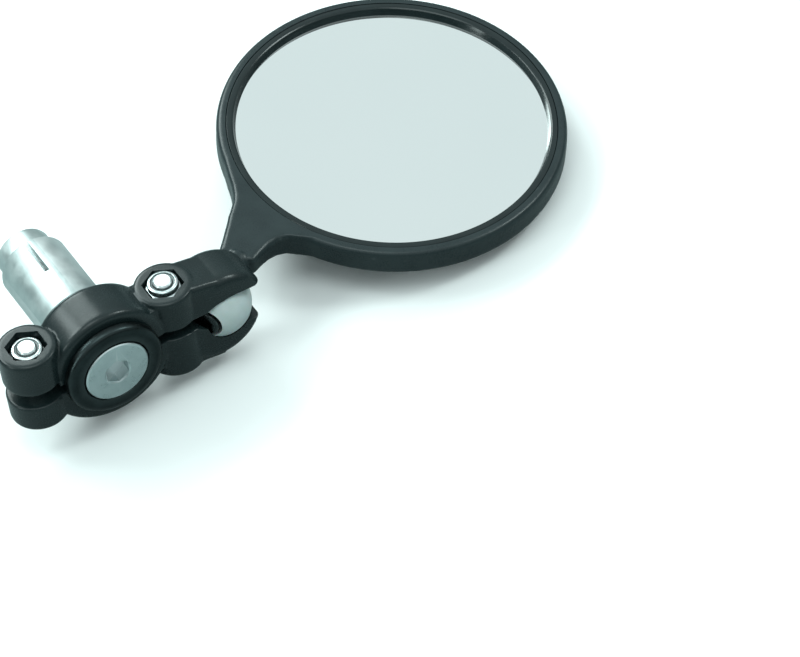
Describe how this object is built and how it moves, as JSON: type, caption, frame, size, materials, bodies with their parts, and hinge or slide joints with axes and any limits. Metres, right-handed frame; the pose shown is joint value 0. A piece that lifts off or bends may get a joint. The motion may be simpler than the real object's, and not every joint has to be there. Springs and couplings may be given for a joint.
{
  "type": "bicycle bar-end mirror",
  "caption": "Round flat mirror on a ball-jointed neck, held by a two-piece clamp arm that turns around an expanding handlebar plug.",
  "frame": {"origin": "centre of the stop flange's rear face, where it meets the end of the handlebar, on the plug's axis", "axes": "+Y along the plug into the handlebar, +Z along the clamp bolts towards their nuts, +X along the clamp arm towards the ball joint"},
  "size_m": [0.1705, 0.09, 0.0363],
  "materials": {
    "black_nylon": "satin glass-filled nylon",
    "black_anodised": "black anodised aluminium, fine turned",
    "sleeve_aluminium": "bare turned aluminium",
    "zinc_steel": "bright zinc-plated steel",
    "nut_nylon": "grey nylon locking ring",
    "white_nylon": "white nylon, satin",
    "black_steel": "black oxide steel",
    "housing_plastic": "satin black moulded plastic",
    "brass": "turned brass",
    "bezel_plastic": "glossy black plastic",
    "mirror_glass": "silvered flat glass",
    "foam": "closed-cell foam",
    "badge_plastic": "semi-gloss black plastic",
    "tape": "double-sided tape"
  },
  "bodies": {
    "plug": {"hub": "black_nylon", "end_cap": "black_anodised", "stop_flange": "black_anodised", "expander_sleeve": "sleeve_aluminium"},
    "expander": {"expander_bolt": "zinc_steel"},
    "wedge": {"wedge_nut": "sleeve_aluminium"},
    "arm": {"clamp_upper": "black_nylon", "clamp_lower": "black_nylon", "end_clamp_bolt": "zinc_steel", "mid_clamp_bolt": "zinc_steel", "end_lock_nut": "zinc_steel", "mid_lock_nut": "zinc_steel", "end_nut_insert": "nut_nylon", "mid_nut_insert": "nut_nylon"},
    "ball": {"pivot_ball": "white_nylon", "ball_screw": "black_steel"},
    "head": {"mirror_housing": "housing_plastic", "neck_insert": "brass", "bezel_ring": "bezel_plastic", "mirror_glass": "mirror_glass", "glass_pad": "foam", "back_badge": "badge_plastic", "badge_tape": "tape"}
  },
  "joints": [
    {"name": "arm_turn", "type": "hinge", "parent": "plug", "child": "arm", "pos_m": [0, -0.0085, 0], "axis": [0, 1, 0], "continuous": true},
    {"name": "ball_swing", "type": "hinge", "parent": "arm", "child": "ball", "pos_m": [0.0326, -0.0085, -0.0042], "axis": [0, 0, 1], "range_deg": [-94, 16]},
    {"name": "neck_spin", "type": "hinge", "parent": "ball", "child": "head", "pos_m": [0.0326, -0.0085, -0.0042], "axis": [0.7771, 0.6293, 0], "continuous": true},
    {"name": "expander_turn", "type": "hinge", "parent": "plug", "child": "expander", "pos_m": [0, -0.0085, 0], "axis": [0, 1, 0], "range_deg": [-288, 288]},
    {"name": "wedge_draw", "type": "slide", "parent": "plug", "child": "wedge", "axis": [0, 1, 0], "range_m": [-0.001, 0.001]}
  ],
  "couplings": [
    {"joint": "wedge_draw", "follows": "expander_turn", "m_per_rad": -0.00019894}
  ]
}
